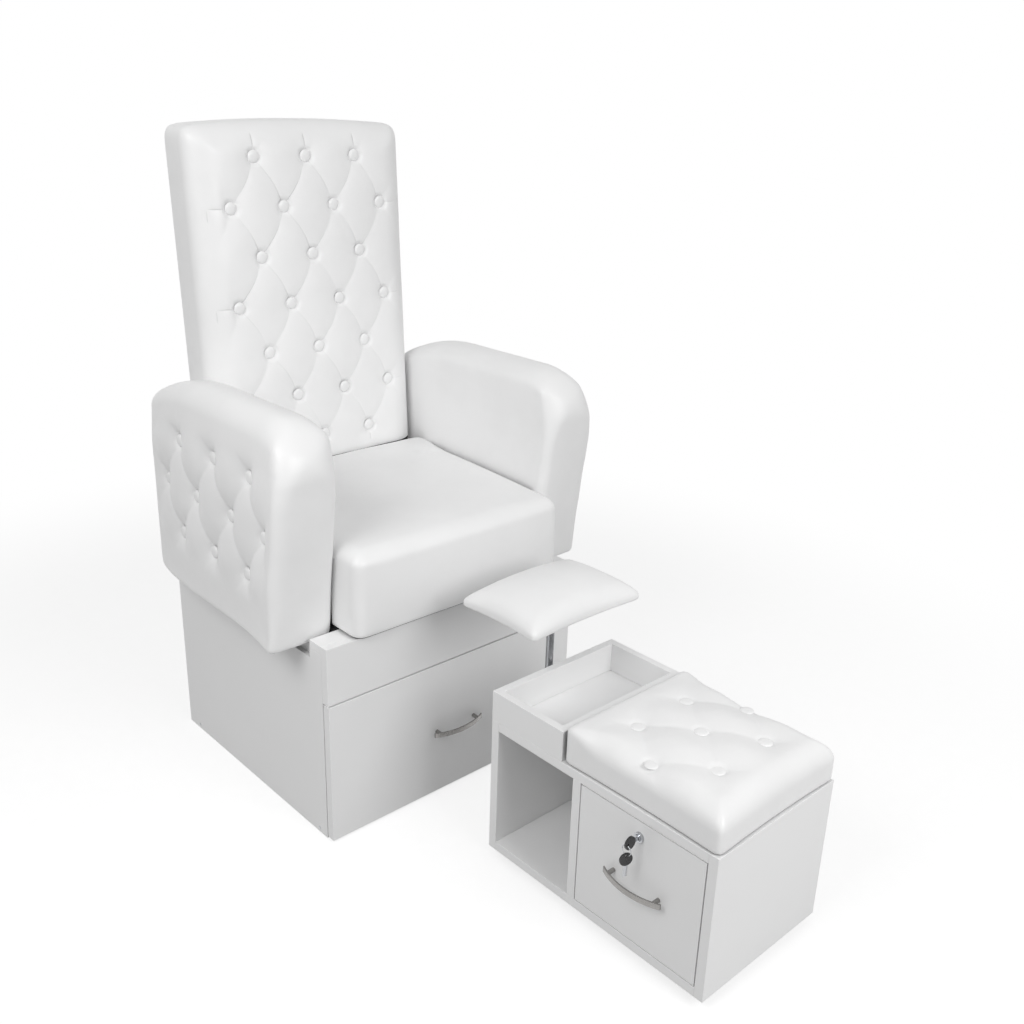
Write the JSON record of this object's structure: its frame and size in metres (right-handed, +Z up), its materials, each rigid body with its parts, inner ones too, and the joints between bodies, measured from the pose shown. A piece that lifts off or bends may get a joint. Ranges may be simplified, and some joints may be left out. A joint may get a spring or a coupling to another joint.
{
  "type": "pedicure chair",
  "caption": "White tufted pedicure chair on a drawer cabinet, with a rolling pedicurist's stool that holds a tray, a niche, a lockable drawer and a height-adjustable footrest.",
  "frame": {"origin": "on the floor, at the centre of the base cabinet's underside", "axes": "+Z up, the chair faces -Y with the stool in front of it, +X to the chair's left as it faces the viewer's right"},
  "size_m": [0.738, 1.3313, 1.276],
  "materials": {
    "white_board": "white melamine, satin",
    "drawer_board": "raw white hardboard",
    "plywood": "raw plywood",
    "leatherette": "white, soft sheen",
    "button_cover": "white, soft sheen",
    "black_cloth": "non-woven",
    "satin_nickel": "satin nickel",
    "chrome": "polished",
    "zinc_steel": "zinc plated",
    "black_steel": "black enamel",
    "white_steel": "white enamel",
    "black_plastic": "gloss",
    "black_nylon": "matt"
  },
  "bodies": {
    "chair": {"base_side_left": "white_board", "base_side_right": "white_board", "base_bottom": "white_board", "base_back": "white_board", "base_fascia": "white_board", "base_top_strip": "white_board", "base_deck": "white_board", "base_screws": "zinc_steel", "base_runners_fixed": "zinc_steel", "seat_board": "plywood", "seat_cushion": "leatherette", "arm_left": "leatherette", "arm_right": "leatherette", "arm_frame_left": "plywood", "arm_frame_right": "plywood", "arm_buttons_left": "button_cover", "arm_buttons_right": "button_cover", "underlining": "black_cloth", "back_cushion": "leatherette", "back_board": "plywood", "back_straps": "black_steel", "back_bolts": "zinc_steel", "back_buttons": "button_cover"},
    "base_drawer": {"base_drawer_front": "white_board", "base_drawer_box": "drawer_board", "base_runners_moving": "zinc_steel", "base_drawer_handle": "satin_nickel"},
    "stool": {"stool_foot_end": "white_board", "stool_seat_end": "white_board", "stool_bottom": "white_board", "stool_top": "white_board", "stool_divider": "white_board", "stool_back": "white_board", "tray_walls": "white_board", "stool_cushion": "leatherette", "stool_seat_board": "plywood", "stool_buttons": "button_cover", "stool_runners_fixed": "zinc_steel", "footrest_bracket": "white_steel", "caster_plates": "black_nylon"},
    "stool_drawer": {"stool_drawer_front": "white_board", "stool_drawer_box": "drawer_board", "stool_runners_moving": "zinc_steel", "stool_drawer_handle": "satin_nickel", "lock_body": "chrome"},
    "lock": {"lock_plug": "chrome", "key_in_lock": "black_plastic"},
    "spare_key": {"spare_key": "black_plastic"},
    "footrest_post": {"footrest_post": "chrome"},
    "foot_pad": {"foot_pad_plate": "zinc_steel", "foot_pad": "leatherette"},
    "clamp_knob": {"clamp_knob": "black_plastic"},
    "caster_1": {"caster_fork_1": "black_nylon"},
    "wheels_1": {"caster_wheels_1": "black_nylon"},
    "caster_2": {"caster_fork_2": "black_nylon"},
    "wheels_2": {"caster_wheels_2": "black_nylon"},
    "caster_3": {"caster_fork_3": "black_nylon"},
    "wheels_3": {"caster_wheels_3": "black_nylon"},
    "caster_4": {"caster_fork_4": "black_nylon"},
    "wheels_4": {"caster_wheels_4": "black_nylon"}
  },
  "joints": [
    {"name": "base_drawer_slide", "type": "slide", "parent": "chair", "child": "base_drawer", "axis": [0, -1, 0], "range_m": [0, 0.34]},
    {"name": "stool_roll", "type": "slide", "parent": "base_drawer", "child": "stool", "axis": [0, -1, 0], "range_m": [0, 0.6]},
    {"name": "stool_drawer_slide", "type": "slide", "parent": "stool", "child": "stool_drawer", "axis": [-1, 0, 0], "range_m": [0, 0.18]},
    {"name": "lock_turn", "type": "hinge", "parent": "stool_drawer", "child": "lock", "pos_m": [-0.104, -0.85425, 0.2455], "axis": [1, 0, 0], "range_deg": [0, 90]},
    {"name": "spare_key_swing", "type": "hinge", "parent": "lock", "child": "spare_key", "pos_m": [-0.1345, -0.85425, 0.2455], "axis": [0, 1, 0], "range_deg": [-12, 30]},
    {"name": "footrest_height", "type": "slide", "parent": "stool", "child": "footrest_post", "axis": [0, 0, 1], "range_m": [-0.06, 0.08]},
    {"name": "footrest_swivel", "type": "hinge", "parent": "footrest_post", "child": "foot_pad", "pos_m": [0.0515, -0.4834, 0.45], "axis": [0, 0, 1], "range_deg": [-90, 90]},
    {"name": "clamp_knob_turn", "type": "hinge", "parent": "stool", "child": "clamp_knob", "pos_m": [0.0715, -0.4834, 0.29], "axis": [1, 0, 0], "continuous": true},
    {"name": "caster_1_swivel", "type": "hinge", "parent": "stool", "child": "caster_1", "pos_m": [-0.074, -0.561, 0.014], "axis": [0, 0, 1], "continuous": true},
    {"name": "caster_1_roll", "type": "hinge", "parent": "caster_1", "child": "wheels_1", "pos_m": [-0.074, -0.566, 0.007], "axis": [1, 0, 0], "continuous": true},
    {"name": "caster_2_swivel", "type": "hinge", "parent": "stool", "child": "caster_2", "pos_m": [0.177, -0.561, 0.014], "axis": [0, 0, 1], "continuous": true},
    {"name": "caster_2_roll", "type": "hinge", "parent": "caster_2", "child": "wheels_2", "pos_m": [0.177, -0.566, 0.007], "axis": [1, 0, 0], "continuous": true},
    {"name": "caster_3_swivel", "type": "hinge", "parent": "stool", "child": "caster_3", "pos_m": [-0.074, -0.975, 0.014], "axis": [0, 0, 1], "continuous": true},
    {"name": "caster_3_roll", "type": "hinge", "parent": "caster_3", "child": "wheels_3", "pos_m": [-0.074, -0.98, 0.007], "axis": [1, 0, 0], "continuous": true},
    {"name": "caster_4_swivel", "type": "hinge", "parent": "stool", "child": "caster_4", "pos_m": [0.177, -0.975, 0.014], "axis": [0, 0, 1], "continuous": true},
    {"name": "caster_4_roll", "type": "hinge", "parent": "caster_4", "child": "wheels_4", "pos_m": [0.177, -0.98, 0.007], "axis": [1, 0, 0], "continuous": true}
  ]
}
